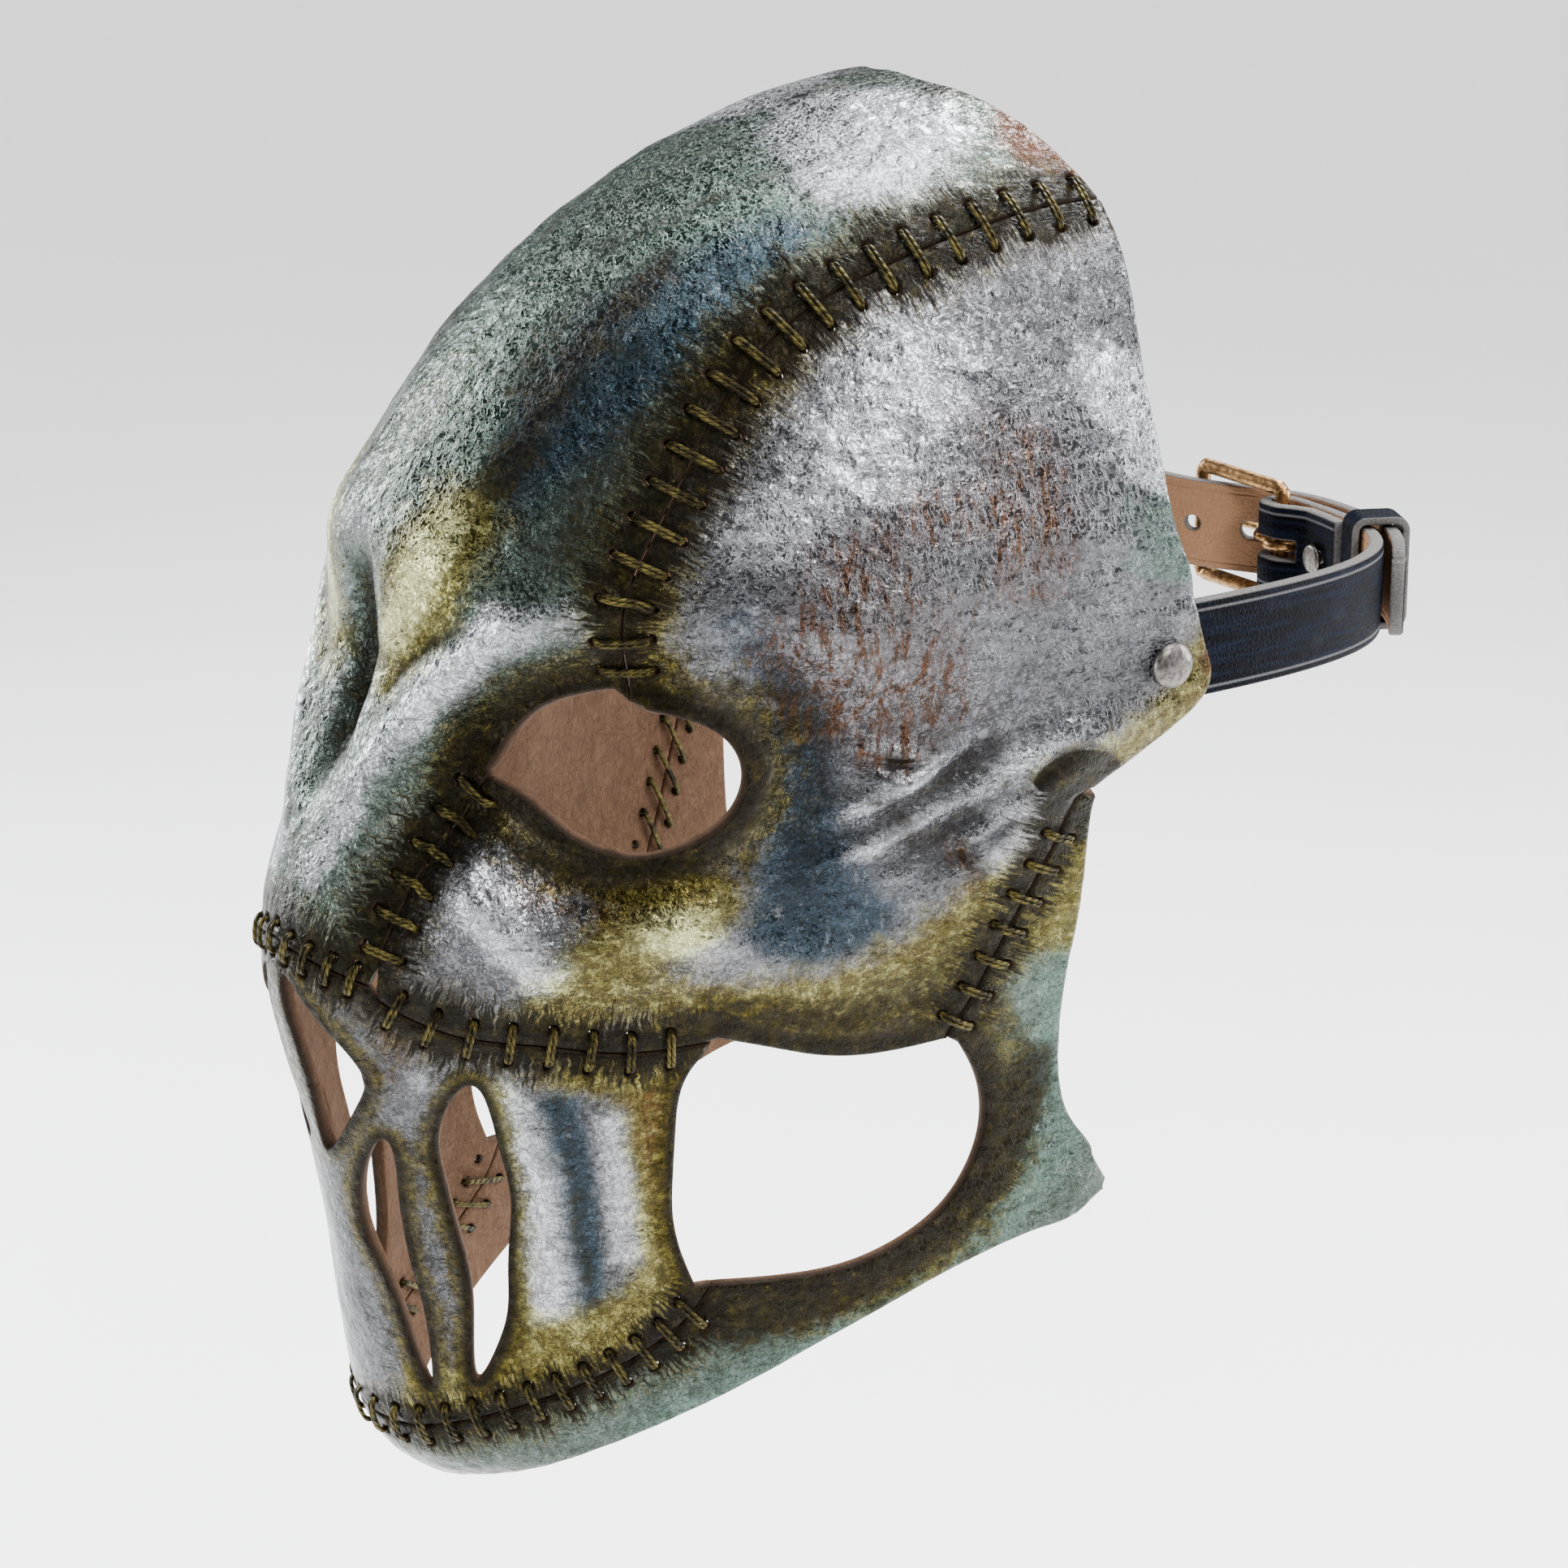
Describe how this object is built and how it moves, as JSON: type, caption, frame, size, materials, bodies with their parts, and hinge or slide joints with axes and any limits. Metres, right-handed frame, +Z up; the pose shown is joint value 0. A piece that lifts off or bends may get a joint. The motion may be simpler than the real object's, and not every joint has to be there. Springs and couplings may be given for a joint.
{
  "type": "leather face mask",
  "caption": "Laced leather face mask with open eyes, cheeks, nostrils and mouth slots, and a strap that swings on temple rivets and buckles behind the head.",
  "frame": {"origin": "midway between the two temple rivets, on the axis that the strap swings about", "axes": "+X towards the wearer's left, -Y the way the face looks, +Z up"},
  "size_m": [0.154, 0.2552, 0.2674],
  "materials": {
    "painted_leather": "metallic silver-grey paint over burnished brown leather",
    "waxed_thread": "dark waxed",
    "black_strap_leather": "black dyed, satin",
    "pewter": "dull pewter",
    "antique_brass": "darkened"
  },
  "bodies": {
    "mask": {"crown_panel": "painted_leather", "side_panel_left": "painted_leather", "side_panel_right": "painted_leather", "mouth_panel": "painted_leather", "jaw_panel": "painted_leather", "lacing_nose_tip": "waxed_thread", "lacing_chin": "waxed_thread", "lacing_nose_side_left": "waxed_thread", "lacing_nose_side_right": "waxed_thread", "lacing_mouth_left": "waxed_thread", "lacing_mouth_right": "waxed_thread", "lacing_forehead_left": "waxed_thread", "lacing_forehead_right": "waxed_thread", "lacing_jaw_left": "waxed_thread", "lacing_jaw_right": "waxed_thread", "temple_rivet_left": "pewter", "temple_rivet_right": "pewter", "temple_rivet_back_left": "pewter", "temple_rivet_back_right": "pewter"},
    "strap": {"strap_left": "black_strap_leather", "strap_right": "black_strap_leather", "fold_rivet": "pewter", "fold_rivet_back": "pewter"},
    "buckle": {"buckle_frame": "antique_brass"},
    "prong": {"buckle_prong": "antique_brass"},
    "keeper": {"keeper_loop": "black_strap_leather"}
  },
  "joints": [
    {"name": "strap_swing", "type": "hinge", "parent": "mask", "child": "strap", "pos_m": [0, 0, 0], "axis": [1, 0, 0], "range_deg": [-20, 30]},
    {"name": "buckle_play", "type": "hinge", "parent": "strap", "child": "buckle", "pos_m": [-0.0077, 0.0908, -0.0079], "axis": [0, 0, 1], "range_deg": [-1.5, 0.5]},
    {"name": "prong_play", "type": "hinge", "parent": "buckle", "child": "prong", "pos_m": [-0.0077, 0.0908, -0.0079], "axis": [0, 0, 1], "range_deg": [-1.5, 1.5]},
    {"name": "keeper_slide", "type": "slide", "parent": "strap", "child": "keeper", "axis": [-0.92, 0.392, 0], "range_m": [-0.003, 0]}
  ]
}
